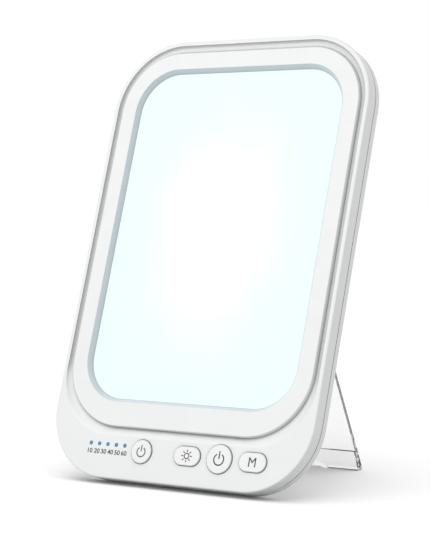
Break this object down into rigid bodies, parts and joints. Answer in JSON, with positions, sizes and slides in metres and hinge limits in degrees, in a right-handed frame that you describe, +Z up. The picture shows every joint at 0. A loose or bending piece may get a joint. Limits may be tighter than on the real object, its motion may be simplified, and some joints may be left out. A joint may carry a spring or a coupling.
{
  "type": "light therapy lamp",
  "caption": "Thin white tablet-shaped light therapy lamp with a glowing rounded window, push buttons and timer lights, leaning back on a clear hinged leg.",
  "frame": {"origin": "on the floor, under the middle of the standing lamp's box", "axes": "+Z up, +X to the lamp's own left as it faces a viewer at -Y, +Y from the window side to the stand side"},
  "size_m": [0.16, 0.1168, 0.2343],
  "materials": {
    "cover_abs": "moulded ABS, satin gloss white",
    "bezel_abs": "moulded ABS, gloss white",
    "button_abs": "moulded ABS, gloss white, printed signs",
    "bracket_abs": "moulded ABS, fine spark-eroded texture",
    "opal_acrylic": "opal acrylic sheet, lit from behind",
    "guide_acrylic": "clear acrylic plate",
    "reflector_film": "white polyester film",
    "aluminium_tray": "folded sheet, mill finish",
    "strip_board": "white solder mask on flexible laminate",
    "led_package": "phosphor filled silicone in a white package",
    "control_laminate": "green solder mask on glass laminate",
    "component_resin": "moulded black epoxy",
    "switch_plastic": "moulded nylon",
    "blue_lens": "tinted clear acrylic",
    "socket_plastic": "moulded nylon",
    "screw_steel": "zinc plated steel",
    "pin_steel": "ground stainless steel",
    "washer_silicone": "silicone",
    "clear_acrylic": "polished clear acrylic"
  },
  "bodies": {
    "casing": {"front_cover": "cover_abs", "bezel_frame": "bezel_abs", "diffuser": "opal_acrylic", "light_guide": "guide_acrylic", "reflector_sheet": "reflector_film", "back_plate": "aluminium_tray", "led_strip_left": "strip_board", "led_strip_right": "strip_board", "led_chips_left": "led_package", "led_chips_right": "led_package", "control_board": "control_laminate", "board_components": "component_resin", "tact_switches": "switch_plastic", "indicator_light_pipes": "blue_lens", "indicator_leds": "led_package", "dc_socket": "socket_plastic", "rear_cover": "cover_abs", "cover_screws": "screw_steel", "board_screws": "screw_steel", "hinge_bracket": "bracket_abs", "hinge_screws": "screw_steel", "hinge_pin": "pin_steel", "friction_washers": "washer_silicone"},
    "stand": {"stand_leg": "clear_acrylic"},
    "timer_key": {"timer_button": "button_abs", "timer_plunger": "switch_plastic"},
    "brightness_key": {"brightness_button": "button_abs", "brightness_plunger": "switch_plastic"},
    "power_key": {"power_button": "button_abs", "power_plunger": "switch_plastic"},
    "mode_key": {"mode_button": "button_abs", "mode_plunger": "switch_plastic"}
  },
  "joints": [
    {"name": "stand_hinge", "type": "hinge", "parent": "casing", "child": "stand", "pos_m": [0, 0.00661, 0.14524], "axis": [-1, 0, 0], "range_deg": [0, 37.9]},
    {"name": "timer_press", "type": "slide", "parent": "casing", "child": "timer_key", "axis": [0, 0.9484, -0.3171], "range_m": [0, 0.0006], "stiffness_N_per_m": 1500, "springref_m": -0.0002},
    {"name": "brightness_press", "type": "slide", "parent": "casing", "child": "brightness_key", "axis": [0, 0.9484, -0.3171], "range_m": [0, 0.0006], "stiffness_N_per_m": 1500, "springref_m": -0.0002},
    {"name": "power_press", "type": "slide", "parent": "casing", "child": "power_key", "axis": [0, 0.9484, -0.3171], "range_m": [0, 0.0006], "stiffness_N_per_m": 1500, "springref_m": -0.0002},
    {"name": "mode_press", "type": "slide", "parent": "casing", "child": "mode_key", "axis": [0, 0.9484, -0.3171], "range_m": [0, 0.0006], "stiffness_N_per_m": 1500, "springref_m": -0.0002}
  ]
}
